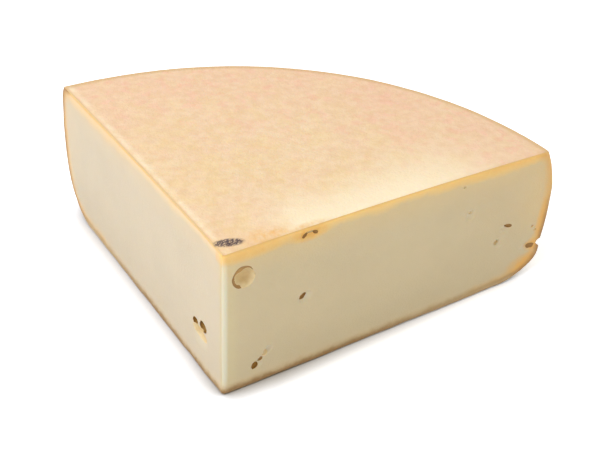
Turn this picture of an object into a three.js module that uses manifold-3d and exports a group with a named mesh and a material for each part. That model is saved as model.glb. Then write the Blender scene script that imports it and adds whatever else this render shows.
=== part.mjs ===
// Quarter of a pressed cheese wheel, cut through the middle and lying on its base.
// Millimetres, +Z up. The tip of the slice points to -Y and the round heel faces +Y.
// The origin is on the base, in the middle of the slice's bounding box.
import * as THREE from 'three';
import { mergeVertices, toCreasedNormals } from 'three/addons/utils/BufferGeometryUtils.js';
import Module from 'manifold-3d';

// Whole wheel
const wheelRadius = 155;       // axis to the widest line of the heel
const wheelHeight = 65;        // base to the top's outer edge
const crownRise = 3.5;         // how far the top swells above its outer edge
const shoulderReach = 6.5;     // top edge stands in from the widest line
const shoulderDrop = 21;       // top edge down to the widest line
const shoulderPower = 1.3;     // superellipse power, where 2 is an ellipse
const footReach = 38;          // base edge stands in from the widest line
const footPower = 3.4;

// Slice
const sliceAngle = 90;         // degrees between the two cuts
const tipOffset = 8.5;         // the cuts meet this far to the left of the wheel's axis
const tipRound = 2.5;          // radius of the worn edge where the cuts meet

// Eyes, which are gas holes that a cut laid open. along and up are shares of the cut's length
// and of the wheel's height; wide, high and deep are sizes; lean is in degrees.
const eyes = [
  { cut: 'right', along: 0.053, up: 0.817, wide: 10, high: 9.5, deep: 6, lean: 0 },
  { cut: 'right', along: 0.222, up: 0.515, wide: 6, high: 2.6, deep: 3, lean: 20 },
  { cut: 'right', along: 0.1, up: 0.14, wide: 8, high: 3, deep: 4, lean: 43 },
  { cut: 'right', along: 0.861, up: 0.5, wide: 5, high: 3.5, deep: 2.5, lean: 10 },
  { cut: 'right', along: 0.832, up: 0.375, wide: 3, high: 4, deep: 2.5, lean: 0 },
  { cut: 'left', along: 0.131, up: 0.292, wide: 13, high: 9, deep: 7, lean: 0 },
];

// Chip broken out of the heel beside the right cut
const chip = { up: 0.22, wide: 5, high: 13, deep: 7, lean: 0 };

// Facets
const wheelSegments = 144;
const outlineSegments = 12;
const crownSegments = 6;
const eyeSegments = 20;
const creaseAngle = THREE.MathUtils.degToRad(30);
const weldDistance = 1e-4;

const paste = { color: 0xd9c79c, roughness: 0.55, metalness: 0 };

const wasm = await Module();
wasm.setup();

// Superellipse quadrant: unit distances across and up at a given angle.
const quadrant = (angle, power) => [Math.cos(angle) ** (2 / power), Math.sin(angle) ** (2 / power)];

// Heel of the wheel from the base edge to the top edge, as radius and height.
function heelOutline() {
  const waist = wheelHeight - shoulderDrop;
  const foot = [];
  const shoulder = [];
  for (let i = 0; i <= outlineSegments; i += 1) {
    const angle = (Math.PI / 2) * (i / outlineSegments);
    const [footOut, footDown] = quadrant(angle, footPower);
    const [shoulderOut, shoulderUp] = quadrant(angle, shoulderPower);
    foot.unshift([wheelRadius - footReach * (1 - footOut), waist * (1 - footDown)]);
    shoulder.push([wheelRadius - shoulderReach * (1 - shoulderOut), waist + shoulderDrop * shoulderUp]);
  }
  return [...foot, ...shoulder.slice(1)];
}

// Radius of the heel at a height, read between the outline's points.
function heelRadius(height) {
  const outline = heelOutline();
  const next = outline.findIndex(([, z]) => z >= height);
  const [[r0, z0], [r1, z1]] = outline.slice(next - 1, next + 1);
  return THREE.MathUtils.mapLinear(height, z0, z1, r0, r1);
}

// Swell of the top, from its outer edge in to the axis.
function crownOutline() {
  const edge = wheelRadius - shoulderReach;
  const points = [];
  for (let i = 1; i <= crownSegments; i += 1) {
    const share = 1 - i / crownSegments;
    points.push([edge * share, wheelHeight + crownRise * (1 - share ** 2)]);
  }
  return points;
}

// Solid from a closed mesh, with the doubled vertices of its seams and poles merged.
function toSolid(geometry) {
  geometry.deleteAttribute('normal');
  geometry.deleteAttribute('uv');
  const merged = mergeVertices(geometry, weldDistance);
  const corners = merged.index.array;
  const triangles = [];
  for (let i = 0; i < corners.length; i += 3) {
    const [a, b, c] = corners.slice(i, i + 3);
    if (a !== b && b !== c && c !== a) triangles.push(a, b, c);
  }
  return new wasm.Manifold(new wasm.Mesh({
    numProp: 3,
    vertProperties: merged.attributes.position.array,
    triVerts: new Uint32Array(triangles),
  }));
}

function toGeometry(solid) {
  const { vertProperties, triVerts } = solid.getMesh();
  const geometry = new THREE.BufferGeometry();
  geometry.setAttribute('position', new THREE.BufferAttribute(vertProperties, 3));
  geometry.setIndex(new THREE.BufferAttribute(triVerts, 1));
  return geometry;
}

// Whole wheel on its axis.
function wheel() {
  const profile = [[0, 0], ...heelOutline(), ...crownOutline()];
  const points = profile.map(([radius, height]) => new THREE.Vector2(radius, height));
  return toSolid(new THREE.LatheGeometry(points, wheelSegments).rotateX(Math.PI / 2));
}

const halfAngle = THREE.MathUtils.degToRad(sliceAngle / 2);
const tip = new THREE.Vector3(-tipOffset, 0, 0);

// Direction of each cut, from the tip to the heel.
const cuts = {
  right: new THREE.Vector3(Math.sin(halfAngle), Math.cos(halfAngle), 0),
  left: new THREE.Vector3(-Math.sin(halfAngle), Math.cos(halfAngle), 0),
};

// Distance from the tip along a cut to a circle around the wheel's axis.
function cutLength(cut, radius) {
  const towards = tip.dot(cuts[cut]);
  return Math.sqrt(towards ** 2 - tip.lengthSq() + radius ** 2) - towards;
}

// Upright prism between the cuts, with a rounded tip, taller and wider than the wheel.
function slice() {
  const reach = 2 * wheelRadius;
  const height = 2 * (wheelHeight + crownRise);
  const roundCentre = tipRound / Math.sin(halfAngle);
  const shape = new THREE.Shape();
  shape.absarc(0, roundCentre, tipRound, Math.PI + halfAngle, 2 * Math.PI - halfAngle, false);
  shape.absarc(0, 0, reach, Math.PI / 2 - halfAngle, Math.PI / 2 + halfAngle, false);
  const prism = new THREE.ExtrudeGeometry(shape, { depth: height, bevelEnabled: false });
  return toSolid(prism.translate(tip.x, tip.y, -height / 4));
}

// Ellipsoid standing in a cut face, half of it inside the cheese.
function hollow({ cut, wide, high, deep, lean }, along, height) {
  const up = new THREE.Vector3(0, 0, 1);
  const place = new THREE.Matrix4().makeBasis(cuts[cut], up, cuts[cut].clone().cross(up));
  place.setPosition(tip.clone().addScaledVector(cuts[cut], along).setZ(height));
  const ball = new THREE.SphereGeometry(1, eyeSegments, eyeSegments / 2);
  ball.scale(wide / 2, high / 2, deep);
  ball.rotateZ(THREE.MathUtils.degToRad(lean));
  ball.applyMatrix4(place);
  return toSolid(ball);
}

function cheeseQuarter() {
  let solid = wheel().intersect(slice());
  for (const eye of eyes) {
    const along = eye.along * cutLength(eye.cut, wheelRadius);
    solid = solid.subtract(hollow(eye, along, eye.up * wheelHeight));
  }
  const chipHeight = chip.up * wheelHeight;
  const chipAlong = cutLength('right', heelRadius(chipHeight));
  solid = solid.subtract(hollow({ ...chip, cut: 'right' }, chipAlong, chipHeight));

  const geometry = toGeometry(solid);
  geometry.computeBoundingBox();
  const middle = geometry.boundingBox.getCenter(new THREE.Vector3());
  geometry.translate(-middle.x, -middle.y, 0);
  const material = new THREE.MeshStandardMaterial(paste);
  const mesh = new THREE.Mesh(toCreasedNormals(geometry, creaseAngle), material);
  mesh.name = 'cheese_quarter';
  return mesh;
}

const part = new THREE.Group();
part.add(cheeseQuarter());

export default part;
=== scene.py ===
import math

import bmesh
import bpy
import numpy as np
from mathutils import Matrix, Vector, noise


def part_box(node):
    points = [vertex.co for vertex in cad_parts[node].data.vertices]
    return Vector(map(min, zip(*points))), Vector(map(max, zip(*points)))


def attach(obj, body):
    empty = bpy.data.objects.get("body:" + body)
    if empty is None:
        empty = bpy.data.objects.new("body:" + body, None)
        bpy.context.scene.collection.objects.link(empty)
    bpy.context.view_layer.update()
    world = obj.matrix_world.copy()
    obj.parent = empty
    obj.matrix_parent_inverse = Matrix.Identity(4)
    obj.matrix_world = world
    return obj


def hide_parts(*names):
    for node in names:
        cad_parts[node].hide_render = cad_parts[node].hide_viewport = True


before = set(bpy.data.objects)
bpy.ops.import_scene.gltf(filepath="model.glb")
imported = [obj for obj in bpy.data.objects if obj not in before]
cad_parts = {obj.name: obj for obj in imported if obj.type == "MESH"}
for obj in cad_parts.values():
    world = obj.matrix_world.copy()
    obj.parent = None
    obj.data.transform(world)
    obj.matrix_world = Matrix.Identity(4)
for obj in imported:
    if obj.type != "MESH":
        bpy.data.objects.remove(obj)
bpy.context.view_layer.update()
low, high = (np.array(corner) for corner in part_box("cheese_quarter"))

# All sizes are in metres. The slice's tip points to -Y and its round heel faces +Y.
wheel = {
    "radius": 0.155,          # axis to the widest line of the heel
    "height": 0.065,          # base to the outer edge of the top
    "crownRise": 0.0035,
    "shoulderReach": 0.0065,
    "shoulderDrop": 0.021,
    "shoulderPower": 1.3,
    "footReach": 0.038,
    "footPower": 3.4,
    "tipOffset": 0.0085,      # the cuts meet this far to the left of the wheel's axis
    "tipRound": 0.0025,
}

surface = {
    "cellsAcross": 136,
    "cellsUp": 64,
    "edgeCrowding": 0.65,     # 0 spaces the cells evenly, towards 1 draws them to the edges
    "topEdgeRound": {"right": 0.0018, "left": 0.0009},
    "baseEdgeRound": 0.0016,
    "heelEdgeRound": 0.0008,
    "tipEdgeRound": 0.0016,
    "edgeReach": 0.004,       # the wear wanders on points this close to a cut's edges
    "edgeWander": 0.35,       # and it wanders by this share of the rounds above
    "heelBandShare": 0.75,    # below 1 widens the band under the heel's rind
    "footSpread": 0.0008,     # how far the paste sags outwards at the foot of a cut
    "footSpreadHeight": 0.009,
    "cutSkin": 0.005,         # points this close to a cut move with it
    "topSkin": 0.0001,        # and these belong to the top
    "rindSkin": 0.0005,       # the rind's relief gives way to the cut's over this depth
    "baseFlat": 0.002,        # the relief fades out this close to the floor
    "dimpleFull": 0.0014,     # a dimple this deep is as pale as they come
    "swellingDepth": 0.012,   # how far into the paste a swelling of the heel is felt
    "rindRelief": 0.00016,
    "rindGrain": 0.00006,
    "cutWave": 0.00035,
    "cutGrain": 0.00003,
    "sharpAngle": 60,         # degrees between faces beyond which an edge is shaded sharp
    "touching": 1e-6,         # points this close together are one
}

# Noise for the wear and the relief: its scale, octaves and seed
noiseFields = {
    "edgeWear": (90, 2, 1),
    "rindRelief": (28, 2, 2),
    "rindGrain": (260, 2, 3),
    "cutWave": (18, 2, 4),
    "cutGrain": (500, 2, 5),
}
seedShift = (3.1, 5.7, 1.3)

# How finely the heel's outline is worked out, and how many points are measured at once
outlineSteps = 240
depthSteps = 60
chipSteps = 200
pointsAtOnce = 20000

# Each eye is a group of blobs that the knife laid open. along is measured from the tip and up
# from the base; a blob is (along, up, inwards, wide, high, deep, lean in degrees) from there.
# inwards goes to the blob's middle: below 0 the middle lies outside the paste and the hollow is
# shallow. Bowls are pale and pits are painted brown for shade, and both darken inwards with
# painted shade. A dimple is a soft hollow in the cut itself:
# (along, up, wide, high, deep, lean in degrees).
eyes = [
    {"cut": "right", "along": 0.0088, "up": 0.0554, "bowls": [
        (0.0006, -0.0006, -0.0009, 0.0094, 0.0092, 0.0062, 0)], "pits": [
        (-0.0002, 0.0002, -0.0020, 0.0117, 0.0117, 0.0068, 0)]},
    {"cut": "right", "along": 0.0355, "up": 0.0352, "pits": [
        (0, 0, -0.0006, 0.0041, 0.0032, 0.0036, 28)], "dimples": [
        (0.0006, -0.0004, 0.0080, 0.0070, 0.0014, 20)]},
    {"cut": "right", "along": 0.0172, "up": 0.0114, "pits": [
        (-0.0029, -0.0026, 0, 0.0034, 0.0029, 0.0046, 30),
        (-0.0008, 0.0002, -0.0004, 0.0029, 0.0020, 0.0028, 55)], "bowls": [
        (0.0014, 0.0022, -0.0003, 0.0030, 0.0021, 0.0026, 40)], "dimples": [
        (-0.0024, -0.0020, 0.0064, 0.0056, 0.0010, 30),
        (0.0028, 0.0038, 0.0054, 0.0040, 0.0013, 45)]},
    {"cut": "right", "along": 0.1386, "up": 0.0321, "pits": [
        (0, 0, -0.0003, 0.0036, 0.0020, 0.0026, -15)], "dimples": [
        (-0.0018, -0.0006, 0.0072, 0.0054, 0.0012, 0)]},
    {"cut": "right", "along": 0.1336, "up": 0.0244, "bowls": [
        (0, 0.0002, -0.0002, 0.0022, 0.0028, 0.0026, 0)], "dimples": [
        (0.0002, 0, 0.0058, 0.0066, 0.0012, 0)]},
    {"cut": "right", "along": 0.1160, "up": 0.0456, "bowls": [
        (0.0006, 0.0004, -0.0003, 0.0018, 0.0014, 0.0016, 0)], "dimples": [
        (0, 0, 0.0072, 0.0062, 0.0013, 30)]},
    {"cut": "right", "along": 0.1105, "up": 0.0612, "bowls": [
        (0, 0, 0, 0.0015, 0.0013, 0.0014, 0)]},
    {"cut": "right", "along": 0.1524, "up": 0.0158, "pits": [
        (0.0008, 0, -0.0009, 0.0048, 0.0028, 0.0030, 25)], "dimples": [
        (-0.0014, 0.0004, 0.0084, 0.0060, 0.0013, 15)]},
    {"cut": "right", "along": 0.1530, "up": 0.0268, "bowls": [
        (0, 0, 0, 0.0014, 0.0012, 0.0018, 0),
        (0.0016, -0.0024, 0, 0.0012, 0.0011, 0.0014, 0)]},
    {"cut": "right", "along": 0.0353, "up": 0.0647, "bowls": [
        (0.0022, 0.0006, 0, 0.0042, 0.0013, 0.0014, -4)], "pits": [
        (0, -0.0002, -0.0006, 0.0038, 0.0019, 0.0024, 35),
        (0.0044, -0.0001, -0.0005, 0.0028, 0.0019, 0.0022, -35)], "dimples": [
        (0.0018, -0.0002, 0.0120, 0.0048, 0.0009, 0)]},
    {"cut": "left", "along": 0.0184, "up": 0.0194, "bowls": [
        (0, -0.0016, -0.0009, 0.0122, 0.0072, 0.0064, 0)], "pits": [
        (-0.0029, 0.0038, 0.0016, 0.0066, 0.0052, 0.0084, 18),
        (0.0034, 0.0021, 0.0012, 0.0052, 0.0044, 0.0074, -18)], "dimples": [
        (0, -0.0036, 0.0150, 0.0110, 0.0012, 0)]},
]
eyeStyle = {
    "lumpiness": 0.12,        # how far a blob strays from an ellipsoid
    "lumpScale": 1.6,
    "lumpShift": (7.3, 1.9, 0),
    "smallBlob": 0.0045,      # blobs narrower than this are made of fewer faces
    "fineness": {"small": 3, "large": 4},
    "refineMargin": 0.0020,   # finer cells reach this far round an eye
    "refineCuts": 2,
    "rimSoftness": 0.5,
    "seedsPerEye": 7,         # room for the blobs' seeds between one eye's and the next
}

# Beside the right cut the foot of the heel swells into a lip, with a chip broken out above it;
# beside the left cut the shoulder stands fuller
swellings = [
    {"cut": "right", "up": 0.0078, "high": 0.0068, "wide": 0.030, "out": 0.0043},
    {"cut": "left", "up": 0.0620, "high": 0.0080, "wide": 0.045, "out": 0.0020},
]
chip = {"up": 0.0160, "outset": 0.0004, "size": (0.0050, 0.0046, 0.0110), "lean": -14}

stainFade = 1.4               # a stain fades out at this many times its size

# Soft stains: (face, place, size, strength). On a cut the place is along it from the tip and up,
# on the top it is along the right and left cuts.
stains = [
    ("right", (0.0368, 0.0650), (0.0075, 0.0028), 0.9),
    ("right", (0.0120, 0.0655), (0.0180, 0.0026), 0.45),
    ("right", (0.1515, 0.0070), (0.0095, 0.0046), 1.0),
    ("right", (0.1545, 0.0165), (0.0038, 0.0034), 0.8),
    ("right", (0.1590, 0.0270), (0.0034, 0.0120), 0.9),
    ("right", (0.1420, 0.0650), (0.0400, 0.0035), 0.40),
    ("right", (0.1450, 0.0500), (0.0300, 0.0240), 0.09),
    ("left", (0.1500, 0.0400), (0.0050, 0.0340), 0.20),
    ("left", (0.1250, 0.0640), (0.0550, 0.0046), 0.18),
    ("top", (0.0205, 0.0020), (0.0095, 0.0060), 1.0),
    ("top", (0.0060, 0.0080), (0.0130, 0.0090), 0.22),
    ("top", (0.0310, 0.0005), (0.0130, 0.0022), 0.8),
]

turn = math.sqrt(0.5)
cutWays = {"right": np.array([turn, turn]), "left": np.array([-turn, turn])}
cutNormals = {"right": np.array([turn, -turn]), "left": np.array([-turn, -turn])}
topRadius = wheel["radius"] - wheel["shoulderReach"]
baseRadius = wheel["radius"] - wheel["footReach"]


# Distance from the tip, in a direction, to a circle round the wheel's axis
def rayLength(ways, radius):
    towards = -wheel["tipOffset"] * ways[..., 0]
    return np.sqrt(towards ** 2 - wheel["tipOffset"] ** 2 + radius ** 2) - towards


tip = np.array([
    high[0] - turn * rayLength(cutWays["right"], wheel["radius"]),
    low[1] - wheel["tipRound"] * (math.sqrt(2) - 1),
])
axis = tip + [wheel["tipOffset"], 0]


# Height of the top at a distance from the wheel's axis
def topHeight(radius):
    return wheel["height"] + wheel["crownRise"] * (1 - (radius / topRadius) ** 2)


# Heel from the base edge to the top edge: (radius, height) at shares of the way up along it
def heelOutline(shares):
    angle = np.linspace(0, math.pi / 2, outlineSteps)
    waist = wheel["height"] - wheel["shoulderDrop"]
    footOut = np.cos(angle) ** (2 / wheel["footPower"])
    footDown = np.sin(angle) ** (2 / wheel["footPower"])
    shoulderOut = np.cos(angle) ** (2 / wheel["shoulderPower"])
    shoulderUp = np.sin(angle) ** (2 / wheel["shoulderPower"])
    foot = np.stack([
        wheel["radius"] - wheel["footReach"] * (1 - footOut),
        waist * (1 - footDown),
    ], 1)
    shoulder = np.stack([
        wheel["radius"] - wheel["shoulderReach"] * (1 - shoulderOut),
        waist + wheel["shoulderDrop"] * shoulderUp,
    ], 1)
    line = np.concatenate([foot[::-1], shoulder[1:]])
    walked = np.concatenate([[0], np.cumsum(np.linalg.norm(np.diff(line, axis=0), axis=1))])
    place = np.asarray(shares) * walked[-1]
    return np.stack([np.interp(place, walked, line[:, 0]), np.interp(place, walked, line[:, 1])], 1)


# Shares from 0 to 1, crowded towards both ends so that the edges get the small cells
def crowded(count):
    even = np.linspace(0, 1, count + 1)
    return even - surface["edgeCrowding"] * np.sin(2 * math.pi * even) / (2 * math.pi)


def fromAxis(points):
    return np.hypot(points[:, 0] - axis[0], points[:, 1] - axis[1])


# Depth of points below the heel
def depthBelowHeel(points):
    line = heelOutline(np.linspace(0, 1, depthSteps))
    place = np.stack([fromAxis(points), points[:, 2]], 1)
    start, way = line[:-1], np.diff(line, axis=0)
    depth = np.empty(len(points))
    for begin in range(0, len(place), pointsAtOnce):
        block = slice(begin, begin + pointsAtOnce)
        part = place[block, None] - start
        share = np.clip((part * way).sum(2) / (way ** 2).sum(1), 0, 1)
        depth[block] = np.linalg.norm(part - share[..., None] * way, axis=2).min(1)
    return depth


rindSlot, pasteSlot, bowlSlot, pitSlot = range(4)
blobKinds = {"bowls": bowlSlot, "pits": pitSlot}


# The closed slice as one net of square cells: top, base, heel and the two cuts
def sliceMesh():
    across, up = surface["cellsAcross"], surface["cellsUp"]
    u, v = np.meshgrid(crowded(across), crowded(across), indexing="ij")
    x, y = u * np.sqrt(1 - v ** 2 / 2), v * np.sqrt(1 - u ** 2 / 2)
    reach, angle = np.hypot(x, y), np.arctan2(y, x) + math.pi / 4
    ways = np.stack([np.cos(angle), np.sin(angle)], 2)
    outline = heelOutline(crowded(up))
    points, faces, slots = [], [], []

    def addPatch(grid, slot):
        first = sum(len(block) for block in points)
        rows, columns = grid.shape[:2]
        points.append(grid.reshape(-1, 3))
        corner = np.arange(rows - 1)[:, None] * columns + np.arange(columns - 1)
        corner = first + corner.reshape(-1)
        faces.append(np.stack([corner, corner + 1, corner + columns + 1, corner + columns], 1))
        slots.append(np.full(len(corner), slot))

    def flatPatch(radius, heightAt):
        place = tip + ways * (reach * rayLength(ways, radius))[..., None]
        height = heightAt(np.linalg.norm(place - axis, axis=2))
        return np.concatenate([place, height[..., None]], 2)

    addPatch(flatPatch(topRadius, topHeight), rindSlot)
    addPatch(flatPatch(baseRadius, lambda radius: 0 * radius), rindSlot)

    rim = np.concatenate([ways[-1, :], ways[-2::-1, -1]])
    heel = [rim * rayLength(rim, radius)[:, None] + tip for radius, _ in outline]
    heights = [np.full((len(rim), 1), height) for _, height in outline]
    addPatch(np.stack([np.concatenate(pair, 1) for pair in zip(heel, heights)]), rindSlot)

    share = crowded(across)
    rise = crowded(up)
    for way in cutWays.values():
        outer = np.array([rayLength(way, radius) for radius, _ in outline])
        along = share[:, None] * outer
        topLine = topHeight(np.linalg.norm(tip + way * (share * outer[-1])[:, None] - axis, axis=1))
        fromBase = rise * (topLine - share * wheel["height"])[:, None]
        height = fromBase + share[:, None] * outline[:, 1]
        place = tip + way * along[..., None]
        addPatch(np.concatenate([place, height[..., None]], 2), pasteSlot)

    mesh = bpy.data.meshes.new("slice")
    mesh.from_pydata(np.concatenate(points).tolist(), [], np.concatenate(faces).tolist())
    mesh.polygons.foreach_set("material_index", np.concatenate(slots).astype(np.int32))
    shape = bmesh.new()
    shape.from_mesh(mesh)
    bpy.data.meshes.remove(mesh)
    bmesh.ops.remove_doubles(shape, verts=shape.verts, dist=surface["touching"])
    bmesh.ops.recalc_face_normals(shape, faces=shape.faces)
    return shape


# A place on a cut face, with its axes along the cut, up, and out of the paste
def cutFrame(cut, along, up):
    place = Vector((*(tip + cutWays[cut] * along), up))
    columns = (Vector((*cutWays[cut], 0)), Vector((0, 0, 1)), Vector((*cutNormals[cut], 0)))
    turned = Matrix([[column[row] for column in columns] for row in range(3)]).to_4x4()
    return Matrix.Translation(place) @ turned


# Adds one lumpy ellipsoid to a shape that will be taken out of the slice
def addBlob(shape, place, blob, slot, seed):
    along, up, inwards, wide, tall, deep, lean = blob
    size = "small" if max(wide, tall) < eyeStyle["smallBlob"] else "large"
    fineness = eyeStyle["fineness"][size]
    verts = bmesh.ops.create_icosphere(shape, subdivisions=fineness, radius=1)["verts"]
    shift = Vector([seed * part for part in eyeStyle["lumpShift"]])
    for vert in verts:
        lump = noise.noise(vert.co * eyeStyle["lumpScale"] + shift)
        vert.co *= 1 + eyeStyle["lumpiness"] * lump
    sized = Matrix.Diagonal((wide / 2, tall / 2, deep / 2, 1))
    leant = Matrix.Rotation(math.radians(lean), 4, "Z")
    moved = Matrix.Translation((along, up, -inwards))
    bmesh.ops.transform(shape, matrix=place @ moved @ leant @ sized, verts=verts)
    for face in {face for vert in verts for face in vert.link_faces}:
        face.material_index = slot


def meshObject(name, shape, materials):
    mesh = bpy.data.meshes.new(name)
    shape.to_mesh(mesh)
    shape.free()
    for material in materials:
        mesh.materials.append(material)
    made = bpy.data.objects.new(name, mesh)
    bpy.context.scene.collection.objects.link(made)
    return made


# Smaller cells round every eye, so that its rim and walls come out clean
def refineRound(shape):
    for eye in eyes:
        middle = cutFrame(eye["cut"], eye["along"], eye["up"]).translation
        blobs = [blob for kind in blobKinds for blob in eye.get(kind, [])]
        spread = max(math.hypot(blob[0], blob[1]) + max(blob[3], blob[4]) / 2 for blob in blobs)
        reach = spread + eyeStyle["refineMargin"]
        near = [
            face for face in shape.faces
            if face.material_index == pasteSlot
            and (face.calc_center_median() - middle).length < reach
        ]
        edges = list({edge for face in near for edge in face.edges})
        cuts = eyeStyle["refineCuts"]
        bmesh.ops.subdivide_edges(shape, edges=edges, cuts=cuts, use_grid_fill=True)


# Takes blobs out of the slice; the walls they leave keep the blobs' material
def cutOut(piece, shape, materials):
    bmesh.ops.recalc_face_normals(shape, faces=shape.faces)
    blobs = meshObject("blobs", shape, materials)
    knife = piece.modifiers.new("cut", "BOOLEAN")
    knife.operation = "DIFFERENCE"
    knife.solver = "MANIFOLD"
    knife.object = blobs
    with bpy.context.temp_override(object=piece, active_object=piece):
        bpy.ops.object.modifier_apply(modifier=knife.name)
    bpy.data.objects.remove(blobs)


# Blobs of one eye overlap, so every pass takes one blob out of each eye. The chip goes with them.
def cutEyes(piece, materials):
    groups = []
    for eye in eyes:
        place = cutFrame(eye["cut"], eye["along"], eye["up"])
        groups.append([
            (place, blob, slot)
            for kind, slot in blobKinds.items()
            for blob in eye.get(kind, [])
        ])
    line = heelOutline(np.linspace(0, 1, chipSteps))
    radius = np.interp(chip["up"], line[:, 1], line[:, 0])
    along = rayLength(cutWays["right"], radius) + chip["outset"]
    place = cutFrame("right", along, chip["up"])
    groups.append([(place, (0, 0, 0, *chip["size"], chip["lean"]), pasteSlot)])
    for layer in range(max(map(len, groups))):
        shape = bmesh.new()
        for number, group in enumerate(groups):
            if layer < len(group):
                addBlob(shape, *group[layer], number + layer / eyeStyle["seedsPerEye"])
        cutOut(piece, shape, materials)


# How far to move points in the corner between two faces, so that they lie on a round
def roundCorner(first, second, radius):
    a, b = radius - first, radius - second
    away = np.hypot(a, b)
    held = (a > 0) & (b > 0) & (away > radius)
    scale = np.where(held, radius / np.maximum(away, 1e-9), 1)
    return np.where(held, a * (1 - scale), 0), np.where(held, b * (1 - scale), 0)


# Fractal noise at those of the points that are asked for, and 0 at the rest
def noiseAt(points, asked, scale, octaves, seed):
    shift = Vector([seed * part for part in seedShift])
    values = np.zeros(len(points))
    values[asked] = [
        noise.fractal(Vector(point) * scale + shift, 1, 2, octaves)
        for point in points[asked]
    ]
    return values


# Strength of the stains at each point
def stainAt(points, gaps, onTop):
    total = np.zeros(len(points))
    for face, place, size, strength in stains:
        if face == "top":
            first, second, asked = gaps["left"], gaps["right"], onTop
        else:
            other = "left" if face == "right" else "right"
            onCut = gaps[face] < surface["cutSkin"]
            first, second, asked = gaps[other], points[:, 2], ~onTop & onCut
        away = np.hypot((first - place[0]) / size[0], (second - place[1]) / size[1])
        total = np.maximum(total, strength * asked * np.clip(stainFade - away, 0, 1))
    return total


# Depth of the dimples at places along and up a cut
def dimpleAt(cut, along, up):
    total = np.zeros(len(along))
    onThisCut = [eye for eye in eyes if eye["cut"] == cut]
    for eye in onThisCut:
        for right, above, wide, tall, deep, lean in eye.get("dimples", []):
            lean = math.radians(lean)
            x, y = along - eye["along"] - right, up - eye["up"] - above
            across = (x * math.cos(lean) + y * math.sin(lean)) / (wide / 2)
            upwards = (y * math.cos(lean) - x * math.sin(lean)) / (tall / 2)
            total += deep * np.clip(1 - (across ** 2 + upwards ** 2), 0, 1) ** 2
    return total


# One vector for each item of a mesh's collection
def vectorsOf(collection, name):
    values = np.empty(len(collection) * 3)
    collection.foreach_get(name, values)
    return values.reshape(-1, 3)


# What the shaping and the materials need to know about every point
def measurePoints(points):
    radius = fromAxis(points)
    under = topHeight(radius) - points[:, 2]
    heelDepth = depthBelowHeel(points)
    fromFlats = np.minimum(under, points[:, 2])
    gaps = {cut: (points[:, :2] - tip) @ -normal for cut, normal in cutNormals.items()}
    alongs = {"right": gaps["left"], "left": gaps["right"]}
    return {
        "radius": radius,
        "under": under,
        "heelDepth": heelDepth,
        "rindDepth": np.clip(np.minimum(fromFlats, heelDepth * surface["heelBandShare"]), 0, 1),
        "gaps": gaps,
        "dimples": {
            cut: dimpleAt(cut, alongs[cut], points[:, 2]) * (gaps[cut] < surface["cutSkin"])
            for cut in cutWays
        },
    }


# Keeps the measures that the materials read
def storeMeasures(mesh, points, measured):
    gaps = measured["gaps"]
    measures = {
        "rindDepth": measured["rindDepth"],
        "rightGap": gaps["right"],
        "leftGap": gaps["left"],
        "rimGap": topRadius - measured["radius"],
        "heelDepth": measured["heelDepth"],
        "stain": stainAt(points, gaps, measured["under"] < surface["topSkin"]),
        "dimple": sum(measured["dimples"].values()) / surface["dimpleFull"],
    }
    for name, values in measures.items():
        stored = mesh.attributes.new(name, "FLOAT", "POINT")
        stored.data.foreach_set("value", values.astype(np.float32))


# Wears the edges round, lets the foot sag and the heel swell, and presses the dimples in
def wearOffset(points, measured):
    gaps, heelDepth, depth = measured["gaps"], measured["heelDepth"], measured["rindDepth"]
    offset = np.zeros_like(points)
    radial = (points[:, :2] - axis) / np.maximum(measured["radius"], surface["touching"])[:, None]
    cutGap = np.minimum(gaps["right"], gaps["left"])
    nearEdge = (cutGap < surface["edgeReach"]) & (depth < surface["edgeReach"])
    softness = 1 + surface["edgeWander"] * noiseAt(points, nearEdge, *noiseFields["edgeWear"])
    for cut, normal in cutNormals.items():
        corners = [
            (measured["under"], softness * surface["topEdgeRound"][cut], (0, 0, -1)),
            (points[:, 2], softness * surface["baseEdgeRound"], (0, 0, 1)),
        ]
        for other, size, way in corners:
            sideways, across = roundCorner(gaps[cut], other, size)
            offset[:, :2] -= sideways[:, None] * normal
            offset += across[:, None] * np.array(way)
        sideways, back = roundCorner(gaps[cut], heelDepth, softness * surface["heelEdgeRound"])
        offset[:, :2] -= sideways[:, None] * normal + back[:, None] * radial
        foot = np.clip(1 - points[:, 2] / surface["footSpreadHeight"], 0, 1) ** 2
        outwards = surface["footSpread"] * foot * (gaps[cut] < surface["cutSkin"])
        outwards = outwards - measured["dimples"][cut]
        offset[:, :2] += outwards[:, None] * normal
    for swelling in swellings:
        bulge = swelling["out"] * np.exp(-((points[:, 2] - swelling["up"]) / swelling["high"]) ** 2)
        bulge *= np.clip(1 - gaps[swelling["cut"]] / swelling["wide"], 0, 1) ** 2
        bulge *= np.clip(1 - heelDepth / surface["swellingDepth"], 0, 1)
        offset[:, :2] += bulge[:, None] * radial
    first, second = roundCorner(gaps["left"], gaps["right"], surface["tipEdgeRound"])
    offset[:, :2] -= first[:, None] * cutNormals["left"] + second[:, None] * cutNormals["right"]
    return offset


# Rind and cut faces are never quite true
def reliefOffset(points, normals, depth):
    onRind = np.clip(1 - depth / surface["rindSkin"], 0, 1)
    onBase = np.clip(1 - points[:, 2] / surface["baseFlat"], 0, 1)
    rind, paste = onRind > 0, onRind < 1
    asked = {"rindRelief": rind, "rindGrain": rind, "cutWave": paste, "cutGrain": paste}
    heights = {
        name: surface[name] * noiseAt(points, places, *noiseFields[name])
        for name, places in asked.items()
    }
    relief = heights["rindRelief"] + heights["rindGrain"]
    wave = heights["cutWave"] + heights["cutGrain"]
    return normals * (onRind * relief * (1 - onBase) + (1 - onRind) * wave)[:, None]


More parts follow.
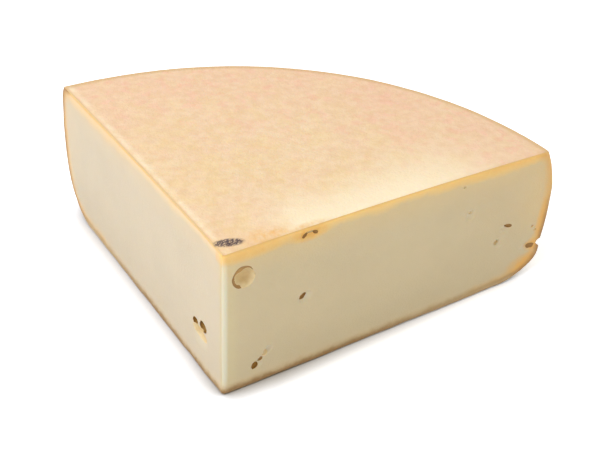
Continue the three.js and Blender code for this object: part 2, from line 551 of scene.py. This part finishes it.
# Takes the knife edge off the rims of the eyes
def softenRims(mesh):
    shape = bmesh.new()
    shape.from_mesh(mesh)
    rims = [
        vert for vert in shape.verts
        if len({face.material_index for face in vert.link_faces}) > 1
        and any(face.material_index in blobKinds.values() for face in vert.link_faces)
    ]
    bmesh.ops.smooth_vert(
        shape, verts=rims, factor=eyeStyle["rimSoftness"],
        use_axis_x=True, use_axis_y=True, use_axis_z=True,
    )
    shape.to_mesh(mesh)
    shape.free()


def buildCheese(materials):
    shape = sliceMesh()
    refineRound(shape)
    piece = meshObject("cheese", shape, materials)
    cutEyes(piece, materials)
    print("slice with eyes:", len(piece.data.polygons), "faces")

    mesh = piece.data
    points = vectorsOf(mesh.vertices, "co")
    normals = vectorsOf(mesh.vertex_normals, "vector")
    measured = measurePoints(points)
    storeMeasures(mesh, points, measured)
    offset = wearOffset(points, measured)
    offset += reliefOffset(points, normals, measured["rindDepth"])
    points += offset
    points[:, 2] = np.maximum(points[:, 2], 0)
    mesh.vertices.foreach_set("co", points.reshape(-1))
    mesh.polygons.foreach_set("use_smooth", np.ones(len(mesh.polygons), bool))
    mesh.update()
    softenRims(mesh)
    mesh.set_sharp_from_angle(angle=math.radians(surface["sharpAngle"]))
    triangles = sum(len(face.vertices) - 2 for face in mesh.polygons)
    print("cheese:", triangles, "triangles")
    return piece


def addNode(tree, kind, **settings):
    node = tree.nodes.new(kind)
    for name, value in settings.items():
        setattr(node, name, value)
    return node


# Gives a socket a value, or links it if the value is another node's output
def feed(tree, socket, value):
    if isinstance(value, bpy.types.NodeSocket):
        tree.links.new(value, socket)
    elif socket.type == "RGBA":
        socket.default_value = (*value, 1)
    else:
        socket.default_value = value


def setInputs(tree, node, **values):
    for name, value in values.items():
        feed(tree, node.inputs[name.replace("_", " ")], value)
    return node


def newGroup(name, inputs, outputs):
    tree = bpy.data.node_groups.new(name, "ShaderNodeTree")
    for label, kind, value in inputs:
        socket = tree.interface.new_socket(label, in_out="INPUT", socket_type="NodeSocket" + kind)
        if value is not None:
            socket.default_value = value
    for label, kind in outputs:
        tree.interface.new_socket(label, in_out="OUTPUT", socket_type="NodeSocket" + kind)
    return tree, addNode(tree, "NodeGroupInput").outputs, addNode(tree, "NodeGroupOutput")


def placeGroup(tree, group, **values):
    return setInputs(tree, addNode(tree, "ShaderNodeGroup", node_tree=group), **values).outputs[0]


# 0 where a value is at start, 1 where it is at end, and a soft step between
def step(tree, value, start, end):
    node = addNode(tree, "ShaderNodeMapRange", interpolation_type="SMOOTHSTEP")
    return setInputs(tree, node, Value=value, From_Min=start, From_Max=end).outputs["Result"]


def maths(tree, operation, first, second):
    node = addNode(tree, "ShaderNodeMath", operation=operation)
    feed(tree, node.inputs[0], first)
    feed(tree, node.inputs[1], second)
    return node.outputs[0]


def mixColour(tree, factor, first, second, way="MIX"):
    node = addNode(tree, "ShaderNodeMix", data_type="RGBA", blend_type=way)
    colours = [socket for socket in node.inputs if socket.type == "RGBA"]
    feed(tree, node.inputs[0], factor)
    feed(tree, colours[0], first)
    feed(tree, colours[1], second)
    return next(socket for socket in node.outputs if socket.type == "RGBA")


# A value times a share, plus what there is at least
def shareOf(tree, value, share, least=None):
    value = maths(tree, "MULTIPLY", value, share)
    return value if least is None else maths(tree, "ADD", value, least)


def attribute(tree, name):
    return addNode(tree, "ShaderNodeAttribute", attribute_name=name).outputs["Fac"]


mottleRoughness = 0.6


# Soft blotches between 0 and 1, stretched if need be
def mottleGroup():
    tree, given, result = newGroup("Mottle", [
        ("Vector", "Vector", None),
        ("Scale", "Float", 40.0),
        ("Detail", "Float", 4.0),
        ("Low", "Float", 0.35),
        ("High", "Float", 0.65),
        ("Stretch", "Vector", (1, 1, 1)),
    ], [("Mask", "Float")])
    stretch = addNode(tree, "ShaderNodeVectorMath", operation="MULTIPLY")
    tree.links.new(given["Vector"], stretch.inputs[0])
    tree.links.new(given["Stretch"], stretch.inputs[1])
    field = addNode(tree, "ShaderNodeTexNoise")
    setInputs(tree, field, Vector=stretch.outputs[0], Roughness=mottleRoughness)
    setInputs(tree, field, Scale=given["Scale"], Detail=given["Detail"])
    setInputs(tree, result, Mask=step(tree, field.outputs["Fac"], given["Low"], given["High"]))
    return tree


# Fine unevenness of a surface, from grain and coarser lumps
def grainGroup(mottle):
    tree, given, result = newGroup("Surface Grain", [
        ("Vector", "Vector", None),
        ("Fine Scale", "Float", 900.0),
        ("Coarse Scale", "Float", 220.0),
        ("Coarse Share", "Float", 0.5),
    ], [("Height", "Float")])
    shared = {"Vector": given["Vector"], "Low": 0.1, "High": 0.9}
    fine = placeGroup(tree, mottle, Scale=given["Fine Scale"], Detail=5.0, **shared)
    coarse = placeGroup(tree, mottle, Scale=given["Coarse Scale"], Detail=3.0, **shared)
    coarse = shareOf(tree, coarse, given["Coarse Share"])
    setInputs(tree, result, Height=maths(tree, "ADD", fine, coarse))
    return tree


# How unevenly the band under the rind ends, as shares of its depth
bandEdge = {
    "patchy": {"Scale": 45.0, "Detail": 3.0, "Low": 0.25, "High": 0.75},
    "ragged": {"Scale": 420.0, "Detail": 3.0, "Low": 0.2, "High": 0.8},
    "least": 0.6,
    "patchyShare": 0.7,
    "raggedShare": 0.15,
    "stainShare": 1.2,        # it reaches deeper in a stain
    "falloff": 1.6,
    "stainLeast": 0.6,        # and the stain itself is broken up
    "stainRagged": 0.5,
}


# Paste seen in section: a warm band under the rind that fades into the pale middle
def pasteGroup(mottle):
    tree, given, result = newGroup("Paste Colour", [
        ("Vector", "Vector", None),
        ("Depth", "Float", 0.0),
        ("Stain", "Float", 0.0),
        ("Paste", "Color", None),
        ("Band", "Color", None),
        ("Rind", "Color", None),
        ("Stained", "Color", None),
        ("Band Depth", "Float", 0.005),
        ("Rind Depth", "Float", 0.001),
        ("Tail", "Float", 0.2),
        ("Tail Depth", "Float", 0.015),
    ], [("Color", "Color")])
    patchy = placeGroup(tree, mottle, Vector=given["Vector"], **bandEdge["patchy"])
    ragged = placeGroup(tree, mottle, Vector=given["Vector"], **bandEdge["ragged"])
    reach = shareOf(tree, patchy, bandEdge["patchyShare"], bandEdge["least"])
    reach = maths(tree, "ADD", reach, shareOf(tree, ragged, bandEdge["raggedShare"]))
    line = step(tree, maths(tree, "DIVIDE", given["Depth"], reach), given["Rind Depth"], 0.0)
    reach = maths(tree, "ADD", reach, shareOf(tree, given["Stain"], bandEdge["stainShare"]))
    depth = maths(tree, "DIVIDE", given["Depth"], reach)
    band = step(tree, depth, given["Band Depth"], 0.0)
    band = maths(tree, "POWER", band, bandEdge["falloff"])
    tail = step(tree, given["Depth"], given["Tail Depth"], 0.0)
    band = maths(tree, "MAXIMUM", band, shareOf(tree, tail, given["Tail"]))
    broken = shareOf(tree, ragged, bandEdge["stainRagged"], bandEdge["stainLeast"])
    stained = shareOf(tree, given["Stain"], broken)
    colour = mixColour(tree, band, given["Paste"], given["Band"])
    colour = mixColour(tree, stained, colour, given["Stained"])
    setInputs(tree, result, Color=mixColour(tree, line, colour, given["Rind"]))
    return tree


inkDabs = {
    "pattern": {"Scale": 2.6, "Detail": 3.0, "Low": 0.36, "High": 0.54, "Stretch": (2.6, 0.8, 1)},
    "oval": (1.15, 0.7),      # from no ink to full ink, as shares of the blot's size
    "share": 0.76,
    "least": 0.20,
}


# A blot of ink: short slanting dabs inside an oval
def inkGroup(mottle):
    tree, given, result = newGroup("Ink Smudge", [
        ("Vector", "Vector", None),
        ("Centre", "Vector", (0, 0, 0)),
        ("Turn", "Vector", (0, 0, 0)),
        ("Lean", "Vector", (0, 0, 0)),
        ("Size", "Vector", (1, 1, 1)),
    ], [("Mask", "Float")])
    local = addNode(tree, "ShaderNodeMapping", vector_type="TEXTURE")
    setInputs(tree, local, Vector=given["Vector"], Location=given["Centre"])
    setInputs(tree, local, Rotation=given["Turn"], Scale=given["Size"])
    away = addNode(tree, "ShaderNodeVectorMath", operation="LENGTH")
    tree.links.new(local.outputs[0], away.inputs[0])
    inside = step(tree, away.outputs["Value"], *inkDabs["oval"])
    leant = addNode(tree, "ShaderNodeMapping", vector_type="POINT")
    setInputs(tree, leant, Vector=local.outputs[0], Rotation=given["Lean"])
    dabs = placeGroup(tree, mottle, Vector=leant.outputs[0], **inkDabs["pattern"])
    dabs = shareOf(tree, dabs, inkDabs["share"], inkDabs["least"])
    setInputs(tree, result, Mask=shareOf(tree, inside, dabs))
    return tree


# A reach is where an effect starts and where it is full; a share is how strong it is then
pasteLook = {
    "paste": (0.565, 0.465, 0.318),
    "rightTint": (1.02, 1.0, 0.87),  # the right cut is tinted a little yellower
    "rightReach": (0.004, 0.001),
    "cloud": {"Scale": 50.0, "Detail": 3.0, "Low": 0.3, "High": 0.7},
    "cloudTint": 0.96,
    "lowTint": (0.92, 0.925, 0.92),  # and both are a little duller low down
    "lowReach": (0.040, 0.004),
    "lowShare": 0.7,
    "tipHighlight": (0.66, 0.62, 0.46),  # painted highlight on the tip's upright edge
    "tipHighlightReach": (0.0026, 0.0012),
    "tipHighlightShare": 0.8,
    "tipSide": (0.62, 0.52, 0.285),  # a yellower strip beside it, on the right cut
    "tipSideReach": (0.0085, 0.0030),
    "tipSideShare": 0.5,
    "tipSideStart": (0.0003, 0.0015),
    "tipStretch": 1.5,  # narrows both on the left cut
    "band": (0.86, 0.56, 0.175),
    "leftBand": (0.74, 0.53, 0.28),
    "lowBand": (0.57, 0.435, 0.245),
    "lowBandReach": (0.024, 0.010),
    "rindLine": (0.66, 0.41, 0.14),
    "heelBand": (0.68, 0.39, 0.11),
    "heelLine": (0.32, 0.155, 0.04),
    "heelReach": (0.008, 0.002),
    "brownReach": (0.055, 0.022),  # the right cut's heel line turns brown downwards
    # Along the base: the base rind's brown band and line, with painted contact shade
    "baseBandAndShade": (0.38, 0.25, 0.105),
    "baseBandAndShadeReach": (0.0048, 0.0005),
    "baseLineAndShade": (0.25, 0.135, 0.035),
    "baseLineAndShadeReach": (0.0030, 0.0006),
    "baseFar": (0.46, 0.32, 0.155),  # the base line, base rind with painted contact shade, pales away from the tip as the shade fades
    "baseFarReach": (0.045, 0.145),
    "baseWander": {"Scale": 200.0, "Detail": 3.0, "Low": 0.2, "High": 0.8},
    "baseWanderDrop": -0.0012,
    "stained": (0.72, 0.37, 0.065),
    "dimple": (0.64, 0.56, 0.40),
    "dimpleShare": 0.85,
    "bandDepth": 0.0078,
    "lineDepth": 0.0014,
    "heelLineDepth": 0.0036,
    "tail": 0.24,  # the band goes on faintly to tailDepth
    "tailDepth": 0.019,
    "tailReach": (0.018, 0.036),
    "roughness": 0.5,
    "translucency": 0.3,
    "bump": (0.25, 0.0003),  # strength and height
    "grain": {"Fine_Scale": 1100.0, "Coarse_Scale": 260.0},
}

# An eye's wall goes from its rim over the wall to the deep colour, by the distance inwards; the
# darkening inwards is painted shade
bowlLook = {
    "rim": (0.70, 0.55, 0.30),
    "wall": (0.575, 0.39, 0.155),
    "wallReach": (0.0002, 0.0025),
    "deep": (0.30, 0.155, 0.045),
    "deepShadeReach": (0.0040, 0.0054),
    "roughness": 0.38,
    "translucency": 0.15,
}

# Pits are painted brown for the shade in small hollows, darkest deep inside
pitLook = {
    "rim": (0.30, 0.15, 0.03),
    "wall": (0.50, 0.28, 0.07),
    "wallReach": (0.0002, 0.0014),
    "deep": (0.10, 0.05, 0.016),
    "deepShadeReach": (0.0012, 0.0030),
    "roughness": 0.42,
    "translucency": 0.05,
}

eyeFinish = {
    "fleck": {"Scale": 500.0, "Detail": 3.0, "Low": 0.3, "High": 0.7},
    "fleckTint": (0.8, 0.72, 0.6),
    "fleckShare": 0.4,
    "bump": (0.3, 0.0003),
    "grain": {"Fine_Scale": 900.0, "Coarse_Scale": 300.0},
}

rindLook = {
    "cream": (0.77, 0.59, 0.375),
    "blush": (0.775, 0.52, 0.352),
    "blushReach": (0.085, 0.015),  # the top turns pinker towards its round rim
    "golden": (0.77, 0.57, 0.315),
    "goldenShare": (-0.5, 0.8),  # change towards the rim, and share at the tip
    "pink": (0.80, 0.47, 0.335),
    "pinkShare": (0.4, 0.15),
    "fineTint": (0.91, 0.85, 0.76),
    "fineShare": 0.7,
    "broad": {"Scale": 24.0, "Detail": 3.0, "Low": 0.3, "High": 0.7},
    "patches": {"Scale": 110.0, "Detail": 5.0, "Low": 0.40, "High": 0.62},
    "dabs": {"Scale": 170.0, "Detail": 4.0, "Low": 0.50, "High": 0.63},
    "fine": {"Scale": 260.0, "Detail": 4.0, "Low": 0.32, "High": 0.68},
    "topReach": (-0.0015, -0.0002),  # from the height of the top's outer edge
    # Paler rubbed rind with a painted sheen along the right cut
    "rubbedSheen": (0.86, 0.74, 0.52),
    "rubbedSheenWander": 0.012,
    "rubbedSheenReach": (0.036, -0.004),  # from the right cut
    "rubbedSheenStart": (0.006, 0.034),  # along it from the tip, and where it ends
    "rubbedSheenEnd": (0.150, 0.080),
    "edgeHighlightStart": (0.0010, 0.0018),  # a painted highlight line beside the left cut's edge
    "edgeHighlightEnd": (0.0046, 0.0022),
    "edgeHighlightShare": (-0.4, 0.55),
    "edge": (0.62, 0.43, 0.21),
    "edgeReach": (0.0011, 0.0006),
    "rim": (0.58, 0.37, 0.16),
    "rimReach": (0.0036, 0.0008),
    "rimShare": 0.75,
    "stain": (0.74, 0.43, 0.15),
    "stainRagged": {"Scale": 300.0, "Detail": 4.0, "Low": 0.3, "High": 0.7},
    "stainShare": (0.7, 0.3),
    "heel": (0.62, 0.42, 0.21),
    "heelPale": (0.70, 0.52, 0.30),
    "heelScuffs": {"Scale": 55.0, "Detail": 5.0, "Low": 0.34, "High": 0.70, "Stretch": (1, 1, 2.4)},
    "heelBrown": (0.56, 0.36, 0.17),
    "heelBrownShare": 0.6,
    "heelFineTint": (0.88, 0.82, 0.74),
    # Darker towards the floor: the base rind's own brown with painted shade near the floor
    "base": (0.22, 0.13, 0.065),
    "baseReach": (0.012, 0.0),
    "ink": (0.05, 0.025, 0.035),
    "inkAt": (0.0057, 0.0058),  # along the right and left cuts
    "inkSize": (0.0060, 0.0025, 0.01),
    "inkTurn": 28,
    "inkLean": 24,
    "roughness": 0.62,
    "translucency": 0.12,
    "bump": (0.4, 0.0005),
    "grain": {"Fine_Scale": 800.0, "Coarse_Scale": 180.0},
}

glowReach = (0.0018, 0.0010, 0.0004)  # how far red, green and blue light go in cheese


def principled(name, look):
    material = bpy.data.materials.new(name)
    material.use_nodes = True
    tree = material.node_tree
    shader = tree.nodes["Principled BSDF"]
    setInputs(tree, shader, Roughness=look["roughness"], Subsurface_Weight=look["translucency"])
    setInputs(tree, shader, Subsurface_Radius=glowReach, Subsurface_Scale=1.0)
    return material, tree, shader, addNode(tree, "ShaderNodeTexCoord").outputs["Object"]


def addBump(tree, shader, grain, where, finish):
    strength, distance = finish["bump"]
    bump = addNode(tree, "ShaderNodeBump")
    height = placeGroup(tree, grain, Vector=where, **finish["grain"])
    setInputs(tree, bump, Strength=strength, Distance=distance, Height=height)
    tree.links.new(bump.outputs["Normal"], shader.inputs["Normal"])


nodeSpacing = (240, 260)


# Sets the nodes out in columns, by how far each is from the output
def arrangeNodes(tree):
    column = {node: 0 for node in tree.nodes}
    for _ in range(len(tree.nodes)):
        for link in tree.links:
            column[link.from_node] = max(column[link.from_node], column[link.to_node] + 1)
    filled = {}
    for node in tree.nodes:
        row = filled.get(column[node], 0)
        filled[column[node]] = row + 1
        node.location = (-nodeSpacing[0] * column[node], -nodeSpacing[1] * row)


def heightOf(tree, where):
    split = addNode(tree, "ShaderNodeSeparateXYZ")
    tree.links.new(where, split.inputs[0])
    return split.outputs["Z"]


# Colours of the band under the rind and of the line along it
def bandTones(tree, look, height, onRight):
    nearHeel = step(tree, attribute(tree, "heelDepth"), *look["heelReach"])
    band = mixColour(tree, onRight, look["leftBand"], look["band"])
    band = mixColour(tree, step(tree, height, *look["lowBandReach"]), band, look["lowBand"])
    band = mixColour(tree, nearHeel, band, look["heelBand"])
    browned = maths(tree, "SUBTRACT", 1.0, onRight)
    browned = maths(tree, "MAXIMUM", browned, step(tree, height, *look["brownReach"]))
    browned = shareOf(tree, nearHeel, browned)
    line = mixColour(tree, browned, look["rindLine"], look["heelLine"])
    extra = look["heelLineDepth"] - look["lineDepth"]
    return band, line, shareOf(tree, browned, extra, look["lineDepth"])


# Colour of the paste away from the rind
def middleTone(tree, mottle, look, where, height, onRight):
    cloud = placeGroup(tree, mottle, Vector=where, **look["cloud"])
    cloudy = tuple(look["cloudTint"] * part for part in look["paste"])
    paste = mixColour(tree, cloud, look["paste"], cloudy)
    paste = mixColour(tree, onRight, paste, look["rightTint"], "MULTIPLY")
    fromTip = maths(tree, "ADD", attribute(tree, "leftGap"), attribute(tree, "rightGap"))
    onLeft = shareOf(tree, attribute(tree, "rightGap"), look["tipStretch"])
    besideTip = maths(tree, "ADD", fromTip, onLeft)
    yellowed = shareOf(tree, step(tree, besideTip, *look["tipSideReach"]), look["tipSideShare"])
    offTip = step(tree, attribute(tree, "leftGap"), *look["tipSideStart"])
    yellowed = shareOf(tree, yellowed, offTip)
    paste = mixColour(tree, yellowed, paste, look["tipSide"])
    # Painted highlight along the tip's upright edge
    dry = shareOf(tree, step(tree, besideTip, *look["tipHighlightReach"]), look["tipHighlightShare"])
    paste = mixColour(tree, dry, paste, look["tipHighlight"])
    dimpled = shareOf(tree, attribute(tree, "dimple"), look["dimpleShare"])
    paste = mixColour(tree, dimpled, paste, look["dimple"])
    sunken = shareOf(tree, step(tree, height, *look["lowReach"]), look["lowShare"])
    return mixColour(tree, sunken, paste, look["lowTint"], "MULTIPLY"), fromTip


def pasteMaterial(groups, look):
    material, tree, shader, where = principled("cut paste", look)
    height = heightOf(tree, where)
    onRight = step(tree, attribute(tree, "rightGap"), *look["rightReach"])
    band, line, lineDepth = bandTones(tree, look, height, onRight)
    paste, fromTip = middleTone(tree, groups["mottle"], look, where, height, onRight)
    tail = shareOf(tree, step(tree, height, *look["tailReach"]), look["tail"])
    colour = placeGroup(
        tree, groups["paste"], Vector=where, Depth=attribute(tree, "rindDepth"),
        Stain=attribute(tree, "stain"), Paste=paste, Band=band, Rind=line,
        Stained=look["stained"], Band_Depth=look["bandDepth"], Rind_Depth=lineDepth,
        Tail=tail, Tail_Depth=look["tailDepth"],
    )
    # Base band and line: the base rind's brown with painted contact shade where the cheese meets
    # the floor
    wander = placeGroup(tree, groups["mottle"], Vector=where, **look["baseWander"])
    footing = maths(tree, "ADD", height, shareOf(tree, wander, look["baseWanderDrop"]))
    colour = mixColour(tree, step(tree, footing, *look["baseBandAndShadeReach"]), colour, look["baseBandAndShade"])
    far = step(tree, fromTip, *look["baseFarReach"])
    baseLineAndShade = mixColour(tree, far, look["baseLineAndShade"], look["baseFar"])
    colour = mixColour(tree, step(tree, footing, *look["baseLineAndShadeReach"]), colour, baseLineAndShade)
    setInputs(tree, shader, Base_Color=colour)
    addBump(tree, shader, groups["grain"], where, look)
    return material


def eyeMaterial(name, groups, look):
    material, tree, shader, where = principled(name, look)
    inwards = maths(tree, "MINIMUM", attribute(tree, "rightGap"), attribute(tree, "leftGap"))
    wall = step(tree, inwards, *look["wallReach"])
    deep = step(tree, inwards, *look["deepShadeReach"])
    fleck = placeGroup(tree, groups["mottle"], Vector=where, **eyeFinish["fleck"])
    fleck = shareOf(tree, fleck, eyeFinish["fleckShare"])
    # The wall and deep colours paint shade into the hollow, darker further in
    tone = mixColour(tree, wall, look["rim"], look["wall"])
    tone = mixColour(tree, deep, tone, look["deep"])
    tone = mixColour(tree, fleck, tone, eyeFinish["fleckTint"], "MULTIPLY")
    setInputs(tree, shader, Base_Color=tone)
    addBump(tree, shader, groups["grain"], where, eyeFinish)
    return material


# Paler where the rind has been rubbed along the right cut, with a painted sheen there, and a
# painted highlight beside the left cut's edge
def rubbedSheenMask(tree, look, broad, patches):
    fromRight = attribute(tree, "rightGap")
    fromLeft = attribute(tree, "leftGap")
    wander = maths(tree, "ADD", fromRight, shareOf(tree, broad, look["rubbedSheenWander"]))
    rubbedSheen = step(tree, wander, *look["rubbedSheenReach"])
    rubbedSheen = shareOf(tree, rubbedSheen, step(tree, fromLeft, *look["rubbedSheenStart"]))
    rubbedSheen = shareOf(tree, rubbedSheen, step(tree, fromLeft, *look["rubbedSheenEnd"]))
    # Painted highlight beside the left cut's edge
    beside = step(tree, fromLeft, *look["edgeHighlightStart"])
    beside = shareOf(tree, beside, step(tree, fromLeft, *look["edgeHighlightEnd"]))
    beside = shareOf(tree, beside, shareOf(tree, patches, *look["edgeHighlightShare"]))
    return maths(tree, "MAXIMUM", rubbedSheen, beside)


# Cream, golden and pink mottling of the top, its rubbed places with painted sheen and highlight,
# edges and stains
def topTone(tree, mottle, look, where, broad, fine, onTop):
    fromRim = attribute(tree, "rimGap")
    outwards = step(tree, fromRim, *look["blushReach"])
    pink = shareOf(tree, maths(tree, "ADD", outwards, broad), 0.5)
    tone = mixColour(tree, pink, look["cream"], look["blush"])
    patches = placeGroup(tree, mottle, Vector=where, **look["patches"])
    golden = shareOf(tree, patches, shareOf(tree, outwards, *look["goldenShare"]))
    tone = mixColour(tree, golden, tone, look["golden"])
    dabs = placeGroup(tree, mottle, Vector=where, **look["dabs"])
    dabs = shareOf(tree, dabs, shareOf(tree, outwards, *look["pinkShare"]))
    tone = mixColour(tree, dabs, tone, look["pink"])
    tone = mixColour(tree, fine, tone, look["fineTint"], "MULTIPLY")
    # Paler rubbed rind with painted sheen, and a painted highlight beside the left cut
    rubbedSheen = shareOf(tree, rubbedSheenMask(tree, look, broad, patches), onTop)
    tone = mixColour(tree, rubbedSheen, tone, look["rubbedSheen"])
    atEdge = step(tree, attribute(tree, "leftGap"), *look["edgeReach"])
    tone = mixColour(tree, atEdge, tone, look["edge"])
    ragged = placeGroup(tree, mottle, Vector=where, **look["stainRagged"])
    ragged = shareOf(tree, ragged, *look["stainShare"])
    stain = shareOf(tree, attribute(tree, "stain"), ragged)
    tone = mixColour(tree, stain, tone, look["stain"])
    rim = shareOf(tree, step(tree, fromRim, *look["rimReach"]), look["rimShare"])
    return mixColour(tree, rim, tone, look["rim"])


# The heel is browner than the top and scuffed along its length
def heelTone(tree, mottle, look, where, broad, fine):
    scuffs = placeGroup(tree, mottle, Vector=where, **look["heelScuffs"])
    tone = mixColour(tree, scuffs, look["heel"], look["heelPale"])
    tone = mixColour(tree, shareOf(tree, broad, look["heelBrownShare"]), tone, look["heelBrown"])
    return mixColour(tree, fine, tone, look["heelFineTint"], "MULTIPLY")


def rindMaterial(groups, look):
    material, tree, shader, where = principled("dry rind", look)
    mottle = groups["mottle"]
    height = heightOf(tree, where)
    onTop = step(tree, height, *(wheel["height"] + part for part in look["topReach"]))
    broad = placeGroup(tree, mottle, Vector=where, **look["broad"])
    fine = placeGroup(tree, mottle, Vector=where, **look["fine"])
    fine = shareOf(tree, fine, look["fineShare"])
    heel = heelTone(tree, mottle, look, where, broad, fine)
    tone = topTone(tree, mottle, look, where, broad, fine, onTop)
    tone = mixColour(tree, onTop, heel, tone)
    # Darker towards the floor: base rind brown and painted shade
    tone = mixColour(tree, step(tree, height, *look["baseReach"]), tone, look["base"])
    spot = tip + cutWays["right"] * look["inkAt"][0] + cutWays["left"] * look["inkAt"][1]
    ink = placeGroup(
        tree, groups["ink"], Vector=where, Centre=(*spot, wheel["height"] + wheel["crownRise"]),
        Turn=(0, 0, math.radians(look["inkTurn"])), Size=look["inkSize"],
        Lean=(0, 0, math.radians(look["inkLean"])),
    )
    tone = mixColour(tree, ink, tone, look["ink"])
    setInputs(tree, shader, Base_Color=tone)
    addBump(tree, shader, groups["grain"], where, look)
    return material


def buildMaterials():
    mottle = mottleGroup()
    groups = {
        "mottle": mottle,
        "paste": pasteGroup(mottle),
        "grain": grainGroup(mottle),
        "ink": inkGroup(mottle),
    }
    materials = [
        rindMaterial(groups, rindLook),
        pasteMaterial(groups, pasteLook),
        eyeMaterial("pale eye wall with painted shade", groups, bowlLook),
        eyeMaterial("brown eye wall of painted shade", groups, pitLook),
    ]
    for tree in [*groups.values(), *(material.node_tree for material in materials)]:
        arrangeNodes(tree)
    print("materials:", ", ".join(material.name for material in materials))
    return materials


room = {
    "floor": (0.90, 0.92, 0.96),
    "floorToCamera": 1.45,    # how much brighter the floor looks than it lights the cheese
    "contactColour": (0.25, 0.21, 0.14),
    # How far the shade round the foot reaches, and its strength to the right and left of the
    # tip: sideways from the tip, from where to where, and the values there
    "contact": {
        "reach": (0.020, 0.090, 0.0108, 0.0032),
        "right": (0.020, 0.090, 1.0, 0.25),
        "left": (-0.020, 0.004, 0.72, 1.0),
    },
    "contactDepth": 2.1,
    "contactSamples": 16,
    "floorSize": 3,
    "floorRoughness": 0.9,
    "floorShine": 0.1,
    "sky": 0.93,
    "skyColour": (1, 0.985, 0.93),
    "lamps": {
        "key": {"power": 11, "size": 1.0, "from": (-0.72, -0.72, 1.0), "colour": (0.92, 0.96, 1.1)},
    },
    "lampAim": (0, 0, 0.03),
}

camera = {
    "azimuth": 11.603,
    "elevation": 36.205,
    "roll": 2.531,
    "distance": 0.50224,
    "lens": 70.97,
    "aim": (0.00742, -0.00052, 0.02977),
}


# Shade where the cheese meets the floor, strongest under the tip
def contactShade(tree):
    contact = addNode(tree, "ShaderNodeAmbientOcclusion", samples=room["contactSamples"])
    where = addNode(tree, "ShaderNodeSeparateXYZ")
    tree.links.new(addNode(tree, "ShaderNodeTexCoord").outputs["Object"], where.inputs[0])
    shares = {}
    for name, (start, end, first, second) in room["contact"].items():
        change = addNode(tree, "ShaderNodeMapRange")
        setInputs(tree, change, Value=where.outputs["X"], To_Min=first, To_Max=second)
        setInputs(tree, change, From_Min=tip[0] + start, From_Max=tip[0] + end)
        shares[name] = change.outputs["Result"]
    setInputs(tree, contact, Distance=shares["reach"])
    clear = maths(tree, "POWER", contact.outputs["AO"], room["contactDepth"])
    shade = maths(tree, "SUBTRACT", 1.0, clear)
    return shareOf(tree, shade, shareOf(tree, shares["right"], shares["left"]))


def buildFloor():
    shape = bmesh.new()
    bmesh.ops.create_grid(shape, x_segments=1, y_segments=1, size=room["floorSize"])
    material = bpy.data.materials.new("pale floor")
    material.use_nodes = True
    tree = material.node_tree
    shader = tree.nodes["Principled BSDF"]
    bright = tuple(room["floorToCamera"] * part for part in room["floor"])
    bright = mixColour(tree, contactShade(tree), bright, room["contactColour"])
    seen = addNode(tree, "ShaderNodeLightPath").outputs["Is Camera Ray"]
    colour = mixColour(tree, seen, room["floor"], bright)
    setInputs(tree, shader, Base_Color=colour)
    setInputs(tree, shader, Roughness=room["floorRoughness"], Specular_IOR_Level=room["floorShine"])
    arrangeNodes(tree)
    meshObject("floor", shape, [material])


def buildLight():
    world = bpy.data.worlds.new("studio")
    bpy.context.scene.world = world
    world.use_nodes = True
    background = world.node_tree.nodes["Background"]
    setInputs(world.node_tree, background, Color=room["skyColour"], Strength=room["sky"])
    for name, lamp in room["lamps"].items():
        light = bpy.data.lights.new(name, "AREA")
        light.energy = lamp["power"]
        light.size = lamp["size"]
        light.color = lamp["colour"]
        made = bpy.data.objects.new(name, light)
        made.location = lamp["from"]
        towards = Vector(room["lampAim"]) - made.location
        made.rotation_euler = towards.to_track_quat("-Z", "Y").to_euler()
        bpy.context.scene.collection.objects.link(made)


def buildCamera():
    azimuth, elevation = math.radians(camera["azimuth"]), math.radians(camera["elevation"])
    back = Vector((
        math.sin(azimuth) * math.cos(elevation),
        -math.cos(azimuth) * math.cos(elevation),
        math.sin(elevation),
    ))
    right = Vector((math.cos(azimuth), math.sin(azimuth), 0))
    axes = Matrix((right, back.cross(right), back)).transposed()
    rolled = axes @ Matrix.Rotation(math.radians(camera["roll"]), 3, "Z")
    lens = bpy.data.cameras.new("camera")
    lens.lens = camera["lens"]
    made = bpy.data.objects.new("camera", lens)
    place = Vector(camera["aim"]) + back * camera["distance"]
    made.matrix_world = Matrix.Translation(place) @ rolled.to_4x4()
    bpy.context.scene.collection.objects.link(made)
    bpy.context.scene.camera = made


buildCamera()
buildFloor()
buildLight()
print("room: camera, floor and light")
cheese = buildCheese(buildMaterials())
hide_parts("cheese_quarter")
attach(cheese, "root")
bpy.context.scene.view_settings.view_transform = "Standard"
